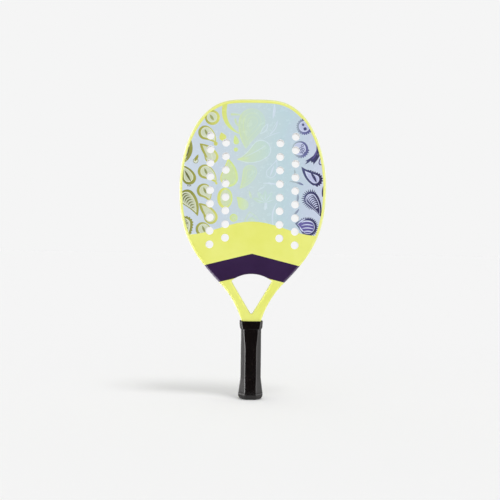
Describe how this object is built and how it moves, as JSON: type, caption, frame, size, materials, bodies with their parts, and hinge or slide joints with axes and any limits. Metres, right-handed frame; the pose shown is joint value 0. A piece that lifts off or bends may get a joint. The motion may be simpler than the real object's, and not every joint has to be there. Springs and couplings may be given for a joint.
{
  "type": "beach tennis racket",
  "caption": "Beach tennis racket with a rounded drilled head over a foam core, a tubular frame that forks round an open throat, and an eight-sided padded handle.",
  "frame": {"origin": "middle of the flat butt end, the lowest point of the racket", "axes": "+Z along the racket from butt to crown, +X across the head, +Y through the thickness away from the front face"},
  "size_m": [0.235, 0.0354, 0.48],
  "materials": {
    "frame_lacquer": "satin clear lacquer over pale yellow paint on fibre composite",
    "printed_face": "printed and clear lacquered fibre laminate, faint weave",
    "core_foam": "cut white EVA foam",
    "pallet_foam": "moulded polyurethane foam",
    "cap_plastic": "moulded black plastic, fine texture",
    "staple_steel": "bright steel wire",
    "grip_cover": "black synthetic grip, soft sheen",
    "grip_tape": "black vinyl tape",
    "collar_rubber": "smooth black rubber"
  },
  "bodies": {
    "root": {"frame_tube": "frame_lacquer", "throat_bridge": "frame_lacquer", "eva_core": "core_foam", "front_face": "printed_face", "back_face": "printed_face", "pallet_front": "pallet_foam", "pallet_back": "pallet_foam", "butt_cap": "cap_plastic", "butt_disc": "cap_plastic", "staple_right": "staple_steel", "staple_left": "staple_steel", "cushion_grip": "grip_cover", "finishing_tape": "grip_tape", "grip_collar": "collar_rubber"}
  },
  "joints": []
}
